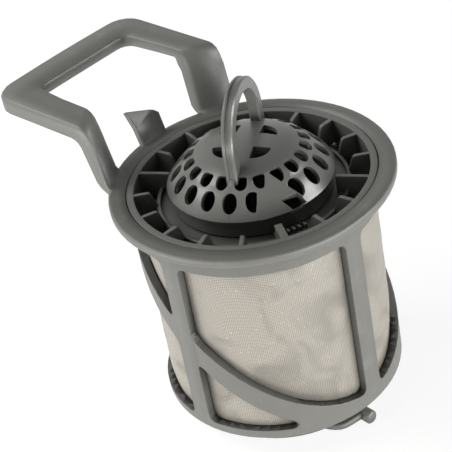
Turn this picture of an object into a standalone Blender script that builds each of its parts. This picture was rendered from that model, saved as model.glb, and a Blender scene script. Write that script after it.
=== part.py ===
"""Dishwasher filter: a mesh-lined cage with a handle, and a lift-out coarse strainer with a domed cap.

The model is in metres with +Z up. The filter stands on its spigot at z = 0, its round body is centred on the Z axis
and the carrying handle points along -X. Lengths below are in millimetres and MM turns them into metres.
"""

import math

import bmesh
import bpy
from mathutils import Matrix, Vector

MM = 0.001
GAP = 0.3

# Rim and band of the frame
RIM_RADIUS = 44.0
RIM_TOP = 80.0
FLANGE_THICKNESS = 2.6
FLANGE_EDGE = 0.6
RIM_WIDTH = 5.3
GROOVE_RADIUS = RIM_RADIUS - RIM_WIDTH
LEDGE_DEPTH = 1.7
LEDGE_Z = RIM_TOP - LEDGE_DEPTH
LEDGE_WIDTH = 1.2
BAND_INNER_RADIUS = GROOVE_RADIUS - LEDGE_WIDTH
BAND_DEPTH = 9.1
BAND_STEP_Z = RIM_TOP - BAND_DEPTH
TURN_STEPS = 72

# Cage under the rim
FLANGE_REACH = 5.5
CAGE_RADIUS = RIM_RADIUS - FLANGE_REACH
CAGE_DEPTH = 2.5
CAGE_BOTTOM = 6.5
CAGE_BOTTOM_ROUNDING = 2.0
WINDOW_TOP = BAND_STEP_Z - 0.6
BOTTOM_RING_TOP = 10.5
FLOOR_TOP = 8.0
RIB_WIDTH = 6.6
WINDOW_CORNER = 2.2
SLANT_MID = 46.0
SLANT_RISE = 33.5
MIN_WINDOW_HEIGHT = 2.4

# Spigot and its bayonet lugs
SPIGOT_INSET = 7.5
SPIGOT_RADIUS = CAGE_RADIUS - SPIGOT_INSET
SPIGOT_WALL = 2.5
SPIGOT_EDGE = 0.4
LUG_START = -30.0
LUG_END = -8.0
LUG_REACH = 5.6
LUG_RAMP = 13.0
LUG_BOTTOM = 2.0
LUG_TOP = 4.4
PIN_AZIMUTH = -4.5
PIN_LENGTH = 8.0
PIN_WIDTH = 4.4
PIN_BOTTOM = 0.1
PIN_TOP = 4.7
LUG_TURNS = (0.0, 180.0)

# Carrying handle
STRAP_THICKNESS = 4.8
STRAP_EDGE = 0.8
HANDLE_RISE = 20.9
HANDLE_TOP = RIM_TOP + HANDLE_RISE
HANDLE_INNER_Y = 19.0
HANDLE_OUTER_Y = 29.7
LEG_OUTER_Y = 28.8
OUTER_DROP = 5.7
INNER_DRAFT = 1.5
OPENING_DEPTH = 26.1
GRIP_WIDTH = 11.9
GRIP_INNER_X = -RIM_RADIUS - OPENING_DEPTH
GRIP_OUTER_X = GRIP_INNER_X - GRIP_WIDTH
GRIP_BOW = 0.5
GRIP_INNER_ROUNDING = 2.5
GRIP_OUTER_ROUNDING = 8.0
CORNER_STEPS = 5

# Thumb tab
TAB_THICKNESS = 2.0
TAB_FOOT_X = -RIM_RADIUS + 2.5
TAB_BEND = (TAB_FOOT_X - 1.7, RIM_TOP + 6.5)
TAB_TIP = (TAB_BEND[0] - 3.6, TAB_BEND[1] + 4.6)
TAB_EDGE = ((-5.5, 1.0), (2.5, 0.42), (3.7, 0.28), (4.7, 0.06))
TAB_ROOT = 1.2

# Mesh sleeve
SLEEVE_WALL = 0.5

# Coarse strainer
LOOP_AZIMUTH = -62.0
FIN_COUNT = 18
FIN_FIRST = 10.0
FIN_THICKNESS = 1.2
LONG_FINS = (4, 13)
THICK_FIN = 1
THICK_FIN_WIDTH = 2.2
SKIRT_CLEARANCE = 0.4
SKIRT_WALL = 1.0
SKIRT_RADIUS = BAND_INNER_RADIUS - SKIRT_CLEARANCE
SKIRT_INNER_RADIUS = SKIRT_RADIUS - SKIRT_WALL
SKIRT_BOTTOM = BAND_STEP_Z + SKIRT_CLEARANCE
CHANNEL_WIDTH = 6.1
HUB_RADIUS = SKIRT_INNER_RADIUS - CHANNEL_WIDTH
HUB_WALL = 1.3
HUB_TOP = RIM_TOP - 5.0
FIN_SHOULDER = HUB_RADIUS + 1.2
FIN_FOOT_Z = SKIRT_BOTTOM + 0.3
THICK_FIN_REACH = HUB_RADIUS - 1.1
SEAT_TOP = HUB_TOP - HUB_WALL
SEAT_THICKNESS = 1.4
BASKET_DEPTH = 42.0
BASKET_BOTTOM = RIM_TOP - BASKET_DEPTH
BASKET_FLOOR = 1.6
BASKET_STEPS = 48
BASKET_SLOTS = 16
BASKET_SLOT_WIDTH = 5.0
BASKET_SLOT_BOTTOM = BASKET_BOTTOM + 6.0
BASKET_SLOT_TOP = SEAT_TOP - 7.7
FLOOR_HOLES = 6
FLOOR_HOLE_RADIUS = 4.6
CENTRE_HOLE_RADIUS = 5.5

# Dome
DOME_MARGIN = 4.2
DOME_RADIUS = HUB_RADIUS - DOME_MARGIN
DOME_WALL = 1.5
DOME_RIM_Z = RIM_TOP - 0.4
DOME_LIP_Z = DOME_RIM_Z - 1.1
DOME_SKIRT_RADIUS = DOME_RADIUS - 1.4
SEAT_INNER_RADIUS = DOME_SKIRT_RADIUS - DOME_WALL - 1.4
SHOULDER_RADIUS = DOME_RADIUS - 5.8
SHOULDER_Z = DOME_RIM_Z + 6.6
APEX_Z = SHOULDER_Z + 5.8
CROWN_EASE = 1.15
DOME_STEPS = 60
HOLE_COUNT = 20
LOWER_HOLES = {"first": 0.0, "inset": 3.8, "rise": 4.6, "length": 6.2, "fill": 0.65, "egg": 0.0}
UPPER_HOLES = {"first": 9.0, "inset": 8.1, "rise": 8.4, "length": 4.4, "fill": 0.70, "egg": 0.16}
HOLE_SIDES = 10
PANEL_AZIMUTH = -26.0
PANEL_POINTS = ((12.8, 0.1), (9.4, 0.8), (6.6, 3.25), (1.9, 7.7), (-1.2, 10.6))
PANEL_WINDOW = ((3.0, 4.0), (2.9, 16.2), (0.7, 21.2), (0.7, 11.3))
CROWN_BAR = 0.36 * SHOULDER_RADIUS
CROWN_WINDOW_RADIUS = 0.75 * CROWN_BAR

# Loop grip on the dome
LOOP_RADIUS = SHOULDER_RADIUS - 3.5
LOOP_THICKNESS = 4.2
LOOP_INNER_RADIUS = LOOP_RADIUS - LOOP_THICKNESS
LOOP_CENTRE_Z = APEX_Z + 3.1
LOOP_WIDTH = 3.5
LOOP_EDGE = 0.5
LOOP_CHANNEL = 0.45
LOOP_CHANNEL_WIDTH = 1.5
LOOP_FOOT = 1.0
LOOP_STEPS = 22

PLASTIC = {"colour": (0.105, 0.103, 0.095), "roughness": 0.42}
MESH = {"colour": (0.52, 0.49, 0.42), "roughness": 0.55}


def clear_scene():
    """Remove whatever the file holds, so that the script always starts from nothing."""
    for item in list(bpy.data.objects):
        bpy.data.objects.remove(item, do_unlink=True)


def on_circle(azimuth, radius, z):
    """Point at an azimuth in degrees, a radius and a height."""
    angle = math.radians(azimuth)
    return (radius * math.cos(angle), radius * math.sin(angle), z)


def make_object(name, points, faces):
    """Object in the scene from points in millimetres, with its faces turned outward."""
    mesh = bpy.data.meshes.new(name)
    mesh.from_pydata([Vector(p) * MM for p in points], [], faces)
    bm = bmesh.new()
    bm.from_mesh(mesh)
    bmesh.ops.recalc_face_normals(bm, faces=bm.faces)
    bm.to_mesh(mesh)
    bm.free()
    item = bpy.data.objects.new(name, mesh)
    bpy.context.scene.collection.objects.link(item)
    return item


def loft(name, rings, closed=False):
    """Solid through rings of equal length: a tube with two end caps, or a closed loop without them."""
    size = len(rings[0])
    points = [p for ring in rings for p in ring]
    faces = []
    spans = len(rings) if closed else len(rings) - 1
    for i in range(spans):
        a = i * size
        b = ((i + 1) % len(rings)) * size
        for j in range(size):
            k = (j + 1) % size
            faces.append((a + j, a + k, b + k, b + j))
    if not closed:
        faces.append(tuple(range(size - 1, -1, -1)))
        faces.append(tuple(range((len(rings) - 1) * size, len(rings) * size)))
    return make_object(name, points, faces)


def turned(name, profile, steps=TURN_STEPS):
    """Ring-shaped solid turned about Z from a closed profile of (radius, z)."""
    rings = []
    for i in range(steps):
        rings.append([on_circle(360.0 * i / steps, r, z) for r, z in profile])
    return loft(name, rings, closed=True)


def prism(name, outline, low, high):
    """Upright prism on a plan outline."""
    return loft(name, [[(x, y, low) for x, y in outline], [(x, y, high) for x, y in outline]])


def joined(name, items):
    """One object from several that don't touch each other."""
    bm = bmesh.new()
    for item in items:
        bm.from_mesh(item.data)
    mesh = bpy.data.meshes.new(name)
    bm.to_mesh(mesh)
    bm.free()
    for item in items:
        bpy.data.objects.remove(item, do_unlink=True)
    result = bpy.data.objects.new(name, mesh)
    bpy.context.scene.collection.objects.link(result)
    return result


def combine(base, tool, operation):
    """Apply one exact Boolean to base and remove the tool."""
    modifier = base.modifiers.new("combine", "BOOLEAN")
    modifier.operation = operation
    modifier.solver = "EXACT"
    modifier.object = tool
    graph = bpy.context.evaluated_depsgraph_get()
    mesh = bpy.data.meshes.new_from_object(base.evaluated_get(graph))
    base.modifiers.clear()
    base.data = mesh
    bpy.data.objects.remove(tool, do_unlink=True)
    return base


def turn_about_axis(item, azimuth):
    """Turn an object's mesh about the Z axis."""
    item.data.transform(Matrix.Rotation(math.radians(azimuth), 4, "Z"))
    return item


def tidy(item, sharp_angle=32.0):
    """Merge points that coincide, drop needless edges on flat faces and shade the round faces smooth."""
    bm = bmesh.new()
    bm.from_mesh(item.data)
    bmesh.ops.remove_doubles(bm, verts=bm.verts, dist=0.004 * MM)
    bmesh.ops.dissolve_degenerate(bm, edges=bm.edges, dist=0.004 * MM)
    bmesh.ops.triangulate(bm, faces=bm.faces)
    bm.to_mesh(item.data)
    bm.free()
    item.data.shade_smooth()
    item.data.set_sharp_from_angle(angle=math.radians(sharp_angle))


def paint(item, look):
    """Give an object a Principled material of its own."""
    material = bpy.data.materials.new(item.name)
    material.use_nodes = True
    shader = material.node_tree.nodes["Principled BSDF"]
    shader.inputs["Base Color"].default_value = (*look["colour"], 1.0)
    shader.inputs["Roughness"].default_value = look["roughness"]
    shader.inputs["Metallic"].default_value = 0.0
    item.data.materials.clear()
    item.data.materials.append(material)


def round_corner(distance, radius):
    """How far a rounded corner draws an edge back at a distance from the window's end."""
    if distance >= radius:
        return 0.0
    return radius - math.sqrt(max(0.0, radius**2 - (radius - distance) ** 2))


def slant_top(azimuth):
    """Height of the slanted rib's upper edge."""
    return SLANT_MID - SLANT_RISE * math.cos(math.radians(azimuth))


def slant_bottom(azimuth):
    """Height of the slanted rib's lower edge, for a constant width across the rib."""
    slope = SLANT_RISE / CAGE_RADIUS * math.sin(math.radians(azimuth))
    return slant_top(azimuth) - RIB_WIDTH * math.hypot(1.0, slope)


def window_span(start, end, low, high):
    """Part of start to end where the window is tall enough to be open."""
    count = 400
    open_at = []
    for i in range(count + 1):
        azimuth = start + (end - start) * i / count
        if high(azimuth) - low(azimuth) >= MIN_WINDOW_HEIGHT:
            open_at.append(azimuth)
    return open_at[0], open_at[-1]


def window_cutter(name, start, end, low, high):
    """Solid that cuts one window: its lower and upper edges are functions of the azimuth, its corners are round."""
    first, last = window_span(start, end, low, high)
    per_degree = math.radians(1.0) * CAGE_RADIUS
    corner = WINDOW_CORNER / per_degree
    stops = [first + corner * (1.0 - math.cos(math.radians(a))) for a in (0, 30, 60)]
    inner_first = first + corner
    inner_last = last - corner
    stops.append(inner_first)
    facet = 360.0 / TURN_STEPS
    stops += [facet * i for i in range(-TURN_STEPS, TURN_STEPS) if inner_first + 1.0 < facet * i < inner_last - 1.0]
    stops.append(inner_last)
    stops += [last - corner * (1.0 - math.cos(math.radians(a))) for a in (60, 30, 0)]
    rings = []
    for azimuth in stops:
        distance = min(azimuth - first, last - azimuth) * per_degree
        height = high(azimuth) - low(azimuth)
        draw = min(round_corner(distance, WINDOW_CORNER), height / 2.0 - 0.1)
        bottom = low(azimuth) + draw
        top = high(azimuth) - draw
        inner = CAGE_RADIUS - CAGE_DEPTH - 2.0
        outer = CAGE_RADIUS + 1.5
        rings.append([on_circle(azimuth, r, z) for r, z in ((inner, bottom), (outer, bottom), (outer, top), (inner, top))])
    return loft(name, rings)


def cage_windows():
    """Cutters of the eight windows between the upright ribs, the slanted rib, the band and the bottom ring."""
    half_rib = math.degrees(RIB_WIDTH / 2.0 / CAGE_RADIUS)

    def top(azimuth):
        return WINDOW_TOP

    def bottom(azimuth):
        return BOTTOM_RING_TOP

    def under_slant(azimuth):
        return min(WINDOW_TOP, slant_bottom(azimuth))

    cutters = []
    for quarter in range(4):
        start = -180.0 + 90.0 * quarter + half_rib
        end = start + 90.0 - 2.0 * half_rib
        cutters.append(window_cutter("upper_window", start, end, slant_top, top))
        cutters.append(window_cutter("lower_window", start, end, bottom, under_slant))
    return joined("cage_windows", cutters)


def frame_profile():
    """Closed profile of the frame's turned body, from the rim's top outward and down."""
    flange_bottom = RIM_TOP - FLANGE_THICKNESS
    edge = FLANGE_EDGE
    soft = edge * 0.3
    cage_inner = CAGE_RADIUS - CAGE_DEPTH
    profile = [
        (GROOVE_RADIUS, RIM_TOP),
        (RIM_RADIUS - edge, RIM_TOP),
        (RIM_RADIUS - soft, RIM_TOP - soft),
        (RIM_RADIUS, RIM_TOP - edge),
        (RIM_RADIUS, flange_bottom + edge),
        (RIM_RADIUS - soft, flange_bottom + soft),
        (RIM_RADIUS - edge, flange_bottom),
        (CAGE_RADIUS + 0.9, flange_bottom),
        (CAGE_RADIUS + 0.25, flange_bottom - 0.25),
        (CAGE_RADIUS, flange_bottom - 0.9),
    ]
    for i in range(5):
        angle = math.radians(90.0 * i / 4)
        profile.append(
            (
                CAGE_RADIUS - CAGE_BOTTOM_ROUNDING * (1.0 - math.cos(angle)),
                CAGE_BOTTOM + CAGE_BOTTOM_ROUNDING * (1.0 - math.sin(angle)),
            )
        )
    profile += [
        (SPIGOT_RADIUS, CAGE_BOTTOM),
        (SPIGOT_RADIUS, SPIGOT_EDGE),
        (SPIGOT_RADIUS - SPIGOT_EDGE, 0.0),
        (SPIGOT_RADIUS - SPIGOT_WALL + SPIGOT_EDGE, 0.0),
        (SPIGOT_RADIUS - SPIGOT_WALL, SPIGOT_EDGE),
        (SPIGOT_RADIUS - SPIGOT_WALL, FLOOR_TOP),
        (cage_inner, FLOOR_TOP),
        (cage_inner, BAND_STEP_Z - GAP),
        (BAND_INNER_RADIUS, BAND_STEP_Z),
        (BAND_INNER_RADIUS, LEDGE_Z),
        (GROOVE_RADIUS, LEDGE_Z),
    ]
    return profile


def bayonet_lug():
    """Ramped lug on the spigot, with the locking pin at its end."""
    rings = []
    count = 9
    root = SPIGOT_RADIUS - SPIGOT_WALL / 2.0
    for i in range(count + 1):
        azimuth = LUG_START + (LUG_END - LUG_START) * i / count
        ramp = min(1.0, (azimuth - LUG_START) / LUG_RAMP)
        reach = SPIGOT_RADIUS + 0.2 + LUG_REACH * math.sin(math.radians(90.0 * ramp))
        middle = (LUG_BOTTOM + LUG_TOP) / 2.0
        profile = (
            (root, LUG_BOTTOM),
            (reach - 0.5, LUG_BOTTOM),
            (reach, LUG_BOTTOM + 0.5),
            (reach, middle),
            (reach, LUG_TOP - 0.5),
            (reach - 0.5, LUG_TOP),
            (root, LUG_TOP),
        )
        rings.append([on_circle(azimuth, r, z) for r, z in profile])
    return loft("lug", rings)


def locking_pin():
    """Short pin that points outward beside the lug."""
    half = PIN_WIDTH / 2.0
    centre_z = (PIN_BOTTOM + PIN_TOP) / 2.0
    rise = (PIN_TOP - PIN_BOTTOM) / 2.0
    rings = []
    tip = 0.5
    reach = SPIGOT_RADIUS + PIN_LENGTH
    for x, shrink in ((SPIGOT_RADIUS - 1.0, 1.0), (reach - tip, 1.0), (reach, 0.76)):
        ring = []
        for i in range(12):
            angle = math.radians(30.0 * i + 15.0)
            ring.append((x, half * shrink * math.cos(angle), centre_z + rise * shrink * math.sin(angle)))
        rings.append(ring)
    return turn_about_axis(loft("pin", rings), PIN_AZIMUTH)


def strap_section(front_inner, front_outer, back_outer, back_inner):
    """Eight points of a strap's section: its four corners, each cut back by the strap's edge."""
    corners = [Vector(p) for p in (front_inner, front_outer, back_outer, back_inner)]
    ring = []
    for i, corner in enumerate(corners):
        before = corners[i - 1] - corner
        after = corners[(i + 1) % 4] - corner
        ring.append(tuple(corner + before * min(0.45, STRAP_EDGE / before.length)))
        ring.append(tuple(corner + after * min(0.45, STRAP_EDGE / after.length)))
    return ring


def handle_sections():
    """Sections of half of the handle, from the rim to the middle of the grip, on the +Y side."""
    thick = STRAP_THICKNESS
    low = HANDLE_TOP - thick
    sections = []
    # Root: inside the flange in front, flaring out to the strap's full thickness behind
    for rise, front, back in ((-2.3, -2.0, 0.7), (-1.4, -2.0, 2.3), (-0.3, -2.0, 3.6), (1.2, -0.4, 4.3)):
        lean = rise * -0.2
        ring = []
        for reach, y in ((front, HANDLE_INNER_Y), (front, LEG_OUTER_Y), (back, LEG_OUTER_Y), (back, HANDLE_INNER_Y)):
            ring.append((lean - math.sqrt((RIM_RADIUS + reach) ** 2 - y**2), y, RIM_TOP + rise))
        sections.append(strap_section(*ring))
    # Leg and its bend into the arm: front inner, front outer, back outer and back inner corners, from the rim's back
    # edge and the handle's top
    inner_y = HANDLE_INNER_Y + 0.7
    outer_y = LEG_OUTER_Y + 0.2
    bend = (
        ((1.9, -5.7), (9.1, -6.5), (1.7, -8.3), (-2.9, -7.9)),
        ((0.7, -2.4), (7.9, -3.3), (1.0, -7.0), (-4.2, -6.5)),
        ((-0.5, -1.0), (6.7, -1.3), (0.2, -6.3), (-4.8, -5.7)),
        ((-2.1, -0.14), (5.1, -0.3), (-1.2, -5.8), (-5.4, -5.0)),
        ((-3.2, 0.0), (3.5, 0.0), (-3.0, -OUTER_DROP), (-6.2, -thick)),
    )
    for step, corners in enumerate(bend):
        lean_y = outer_y + 0.12 * step
        draft_y = inner_y + INNER_DRAFT * step / 4.0
        places = zip(corners, (inner_y, lean_y, lean_y, draft_y))
        sections.append(strap_section(*((x - RIM_RADIUS, y, HANDLE_TOP + z) for (x, z), y in places)))
    # Arm, corner and grip, all at one height, with the inner face drawn back below
    corner_x = GRIP_INNER_X + GRIP_INNER_ROUNDING
    corner_y = HANDLE_INNER_Y - 0.4 - GRIP_INNER_ROUNDING
    outer_x = GRIP_OUTER_X + GRIP_OUTER_ROUNDING
    outer_y = HANDLE_OUTER_Y - GRIP_OUTER_ROUNDING
    plan = [((GRIP_INNER_X + 12.1, HANDLE_INNER_Y + 0.3), (GRIP_INNER_X + 10.1, HANDLE_OUTER_Y), (0.0, 1.0))]
    for i in range(CORNER_STEPS + 1):
        turn = math.radians(90.0 * i / CORNER_STEPS)
        aim = (-math.sin(turn), math.cos(turn))
        inner = (corner_x + GRIP_INNER_ROUNDING * aim[0], corner_y + GRIP_INNER_ROUNDING * aim[1])
        outer = (outer_x + GRIP_OUTER_ROUNDING * aim[0], outer_y + GRIP_OUTER_ROUNDING * aim[1])
        plan.append((inner, outer, aim))
    for y in (8.0, 0.0):
        bow = GRIP_BOW * (1.0 - (y / outer_y) ** 2)
        plan.append(((GRIP_INNER_X, y), (GRIP_OUTER_X - bow, y), (-1.0, 0.0)))
    for (ix, iy), (ox, oy), (ax, ay) in plan:
        under = (ix + INNER_DRAFT * ax, iy + INNER_DRAFT * ay, low)
        foot = (ox, oy, HANDLE_TOP - OUTER_DROP)
        sections.append(strap_section((ix, iy, HANDLE_TOP), (ox, oy, HANDLE_TOP), foot, under))
    return sections


def carrying_handle():
    """Bail handle: half of it lofted, then carried round to the other leg as its mirror image."""
    half = handle_sections()
    other = [[(x, -y, z) for x, y, z in ring] for ring in reversed(half[:-1])]
    return loft("handle", half + other)


def thumb_tab():
    """Springy tab on the rim, bent outward, with a slanting upper edge."""
    rings = []
    for y, share in TAB_EDGE:
        tip = (
            TAB_BEND[0] + (TAB_TIP[0] - TAB_BEND[0]) * share,
            TAB_BEND[1] + (TAB_TIP[1] - TAB_BEND[1]) * share,
        )
        profile = (
            (TAB_FOOT_X, RIM_TOP - TAB_ROOT),
            (TAB_FOOT_X, RIM_TOP),
            TAB_BEND,
            tip,
            (tip[0] - TAB_THICKNESS * 0.75, tip[1] - TAB_THICKNESS * 0.45),
            (TAB_BEND[0] - TAB_THICKNESS, TAB_BEND[1] - 1.2),
            (TAB_FOOT_X - TAB_THICKNESS, RIM_TOP),
            (TAB_FOOT_X - TAB_THICKNESS, RIM_TOP - TAB_ROOT),
        )
        rings.append([(x, y, z) for x, z in profile])
    return loft("thumb_tab", rings)


def build_filter_frame():
    """Frame moulding: rim, cage, spigot, handle and tab as one solid."""
    frame = turned("filter_frame", frame_profile())
    combine(frame, cage_windows(), "DIFFERENCE")
    for turn in LUG_TURNS:
        combine(frame, turn_about_axis(bayonet_lug(), turn), "UNION")
        combine(frame, turn_about_axis(locking_pin(), turn), "UNION")
    combine(frame, carrying_handle(), "UNION")
    combine(frame, thumb_tab(), "UNION")
    tidy(frame)
    paint(frame, PLASTIC)
    return frame


def build_mesh_sleeve():
    """Woven tube that lines the cage, as a thin plain wall."""
    outer = CAGE_RADIUS - CAGE_DEPTH - GAP
    inner = outer - SLEEVE_WALL
    low = FLOOR_TOP + GAP
    high = BAND_STEP_Z - GAP
    sleeve = turned("mesh_sleeve", [(outer, high), (outer, low), (inner, low), (inner, high)], 60)
    tidy(sleeve)
    paint(sleeve, MESH)
    return sleeve


def fin_profile(inner_radius, inner_z):
    """Outline of a fin in (radius, z), from its root on the skirt to its end on the hub."""
    top = RIM_TOP - 0.1
    root = (SKIRT_RADIUS + SKIRT_INNER_RADIUS) / 2.0
    points = [(root, FIN_FOOT_Z), (root, top - 0.4), (SKIRT_INNER_RADIUS - 0.3, top), (FIN_SHOULDER + 0.8, top)]
    if inner_z >= top - 1.0:
        points += [(inner_radius, top), (inner_radius, SEAT_TOP - SEAT_THICKNESS / 2.0)]
    else:
        points += [
            (FIN_SHOULDER, top - 0.35),
            (FIN_SHOULDER - 0.55, top - 1.5),
            (inner_radius, inner_z),
            (inner_radius, SEAT_TOP - SEAT_THICKNESS / 2.0),
        ]
    points.append((HUB_RADIUS - HUB_WALL / 2.0, FIN_FOOT_Z))
    return points


def fins():
    """All fins, as one tool for a union: plain ones, two that reach the dome and a thick one."""
    items = []
    for index in range(FIN_COUNT):
        width = FIN_THICKNESS
        profile = fin_profile(HUB_RADIUS - HUB_WALL / 2.0, HUB_TOP - 0.3)
        if index in LONG_FINS:
            profile = fin_profile(DOME_RADIUS + GAP, RIM_TOP)
        if index == THICK_FIN:
            width = THICK_FIN_WIDTH
            profile = fin_profile(THICK_FIN_REACH, RIM_TOP)
        half = width / 2.0
        rings = [[(r, y, z) for r, z in profile] for y in (-half, half)]
        items.append(turn_about_axis(loft("fin", rings), LOOP_AZIMUTH + FIN_FIRST + 20.0 * index))
    return joined("fins", items)


def strainer_ring_profile():
    """Profile of the ring in the rim's recess and the skirt under it."""
    top = RIM_TOP - 0.1
    low = LEDGE_Z + GAP
    outer = GROOVE_RADIUS - GAP
    return [
        (SKIRT_INNER_RADIUS + 0.3, top),
        (outer - 0.3, top),
        (outer, top - 0.3),
        (outer, low),
        (SKIRT_RADIUS, low),
        (SKIRT_RADIUS, SKIRT_BOTTOM),
        (SKIRT_INNER_RADIUS, SKIRT_BOTTOM),
        (SKIRT_INNER_RADIUS, top - 0.3),
    ]


def basket_profile():
    """Profile of the hub, the dome's seat, the basket wall and its floor."""
    inner = HUB_RADIUS - HUB_WALL
    return [
        (inner, HUB_TOP),
        (HUB_RADIUS - 0.3, HUB_TOP),
        (HUB_RADIUS, HUB_TOP - 0.3),
        (HUB_RADIUS, BASKET_BOTTOM + 1.0),
        (HUB_RADIUS - 1.0, BASKET_BOTTOM),
        (CENTRE_HOLE_RADIUS, BASKET_BOTTOM),
        (CENTRE_HOLE_RADIUS, BASKET_BOTTOM + BASKET_FLOOR),
        (inner, BASKET_BOTTOM + BASKET_FLOOR),
        (inner, SEAT_TOP - SEAT_THICKNESS - 2.0),
        (SEAT_INNER_RADIUS, SEAT_TOP - SEAT_THICKNESS),
        (SEAT_INNER_RADIUS, SEAT_TOP),
        (inner, SEAT_TOP),
    ]


def basket_openings():
    """Cutters of the basket's upright slots and floor holes."""
    items = []
    half = BASKET_SLOT_WIDTH / 2.0
    middle = (BASKET_SLOT_BOTTOM + BASKET_SLOT_TOP) / 2.0
    reach = (BASKET_SLOT_TOP - BASKET_SLOT_BOTTOM) / 2.0
    for index in range(BASKET_SLOTS):
        rings = []
        for r in (HUB_RADIUS - 3.0, HUB_RADIUS + 1.0):
            ring = []
            for side in (1.0, -1.0):
                for angle in (30.0, 90.0, 150.0):
                    turn = math.radians(angle)
                    rise = (reach - half + half * math.sin(turn)) * side
                    ring.append((r, half * math.cos(turn) * side, middle + rise))
            rings.append(ring)
        items.append(turn_about_axis(loft("slot", rings), 360.0 * (index + 0.5) / BASKET_SLOTS))
    middle_circle = (CENTRE_HOLE_RADIUS + HUB_RADIUS - HUB_WALL) / 2.0
    for index in range(FLOOR_HOLES):
        turn = 360.0 * index / FLOOR_HOLES + 180.0 / BASKET_STEPS
        centre = Vector(on_circle(turn, middle_circle, 0.0))
        outline = []
        for i in range(12):
            x, y, _ = on_circle(30.0 * i, FLOOR_HOLE_RADIUS, 0.0)
            outline.append((centre.x + x, centre.y + y))
        items.append(prism("floor_hole", outline, BASKET_BOTTOM - 1.0, BASKET_BOTTOM + BASKET_FLOOR + 1.0))
    return joined("basket_openings", items)


def build_coarse_strainer():
    """Insert moulding: ring and skirt, fins, hub with the dome's seat, and the slotted basket."""
    strainer = turned("coarse_strainer", strainer_ring_profile())
    basket = turned("basket", basket_profile(), BASKET_STEPS)
    combine(basket, basket_openings(), "DIFFERENCE")
    combine(strainer, basket, "UNION")
    combine(strainer, fins(), "UNION")
    tidy(strainer)
    paint(strainer, PLASTIC)
    return strainer


def dome_profile():
    """Closed profile of the dome's wall: skirt, flank and crown, outside and inside, with a small centre hole."""
    wall = DOME_WALL
    skirt = DOME_SKIRT_RADIUS
    low = SEAT_TOP + GAP
    outer = [
        (skirt - 0.3, low),
        (skirt, low + 0.3),
        (skirt, DOME_LIP_Z - 0.3),
        (DOME_RADIUS - 0.3, DOME_LIP_Z),
        (DOME_RADIUS, DOME_LIP_Z + 0.3),
        (DOME_RADIUS, DOME_RIM_Z - 0.3),
        (DOME_RADIUS - 0.35, DOME_RIM_Z + 0.2),
    ]
    flank = [((DOME_RADIUS + SHOULDER_RADIUS) / 2.0 + 0.15, (DOME_RIM_Z + SHOULDER_Z) / 2.0 + 0.35)]
    for share in (0.9875, 0.93, 0.83, 0.7, 0.55, 0.375, 0.175):
        flank.append((SHOULDER_RADIUS * share, crown_outer(SHOULDER_RADIUS * share)))
    inner = []
    for r, z in reversed(flank[::2]):
        slope = max(0.0, (r - 0.4 * SHOULDER_RADIUS) / (0.8 * SHOULDER_RADIUS))
        inner.append((r - wall * slope * 0.75, z - wall * (1.0 - 0.35 * slope)))
    inner.append((DOME_RADIUS - wall, DOME_RIM_Z - 0.9))
    inner.append((skirt - wall, DOME_LIP_Z - 1.2))
    inner.append((skirt - wall, low))
    outer += flank
    return outer, inner


def crown_outer(radius):
    """Height of the dome's outer face inside the shoulder, as an ellipse that eases into the flank."""
    share = radius / SHOULDER_RADIUS
    return SHOULDER_Z + (APEX_Z - SHOULDER_Z) * math.sqrt(max(0.0, 1.0 - share**2)) ** CROWN_EASE


def dome_shell():
    """Turned wall of the dome, closed at the apex outside and inside."""
    outer, inner = dome_profile()
    profile = outer + inner
    apex = len(outer)
    rings = [[on_circle(360.0 * i / DOME_STEPS, r, z) for r, z in profile] for i in range(DOME_STEPS)]
    size = len(profile)
    points = [p for ring in rings for p in ring]
    faces = []
    for i in range(DOME_STEPS):
        a = i * size
        b = ((i + 1) % DOME_STEPS) * size
        for j in range(size):
            k = (j + 1) % size
            if j == apex - 1:
                continue
            faces.append((a + j, a + k, b + k, b + j))
    points.append((0.0, 0.0, APEX_Z))
    points.append((0.0, 0.0, APEX_Z - DOME_WALL))
    for i in range(DOME_STEPS):
        a = i * size
        b = ((i + 1) % DOME_STEPS) * size
        faces.append((a + apex - 1, b + apex - 1, len(points) - 2))
        faces.append((b + apex, a + apex, len(points) - 1))
    return make_object("strainer_dome", points, faces)


def dome_holes(row):
    """Cutters of one row of holes, each an oval or egg along the dome's normal."""
    items = []
    if row is LOWER_HOLES:
        slope = math.atan2(SHOULDER_Z - DOME_RIM_Z, DOME_RADIUS - SHOULDER_RADIUS)
    else:
        slope = math.radians(33.0)
    up = Vector((-math.cos(slope), 0.0, math.sin(slope)))
    out = Vector((math.sin(slope), 0.0, math.cos(slope)))
    centre = Vector((DOME_RADIUS - row["inset"], 0.0, DOME_RIM_Z + row["rise"]))
    half_width = math.pi * centre.x / HOLE_COUNT * row["fill"]
    for index in range(HOLE_COUNT):
        rings = []
        for depth in (-3.2, 2.4):
            ring = []
            for i in range(HOLE_SIDES):
                turn = 2.0 * math.pi * i / HOLE_SIDES
                along = row["length"] / 2.0 * math.sin(turn)
                across = half_width * math.cos(turn) * (1.0 + row["egg"] * math.sin(turn))
                ring.append(tuple(centre + out * depth + up * along + Vector((0.0, across, 0.0))))
            rings.append(ring)
        azimuth = LOOP_AZIMUTH + row["first"] + 360.0 / HOLE_COUNT * index
        items.append(turn_about_axis(loft("hole", rings), azimuth))
    return items


def panel_wedge():
    """Upright wedge over the blank panel, which keeps the holes out of it."""
    right = [(DOME_RADIUS - inset, -y) for inset, y in PANEL_POINTS]
    left = [(r, -y) for r, y in reversed(right)]
    return turn_about_axis(prism("panel_wedge", right + left, DOME_RIM_Z - 9.6, APEX_Z + 8.0), PANEL_AZIMUTH)


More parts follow.
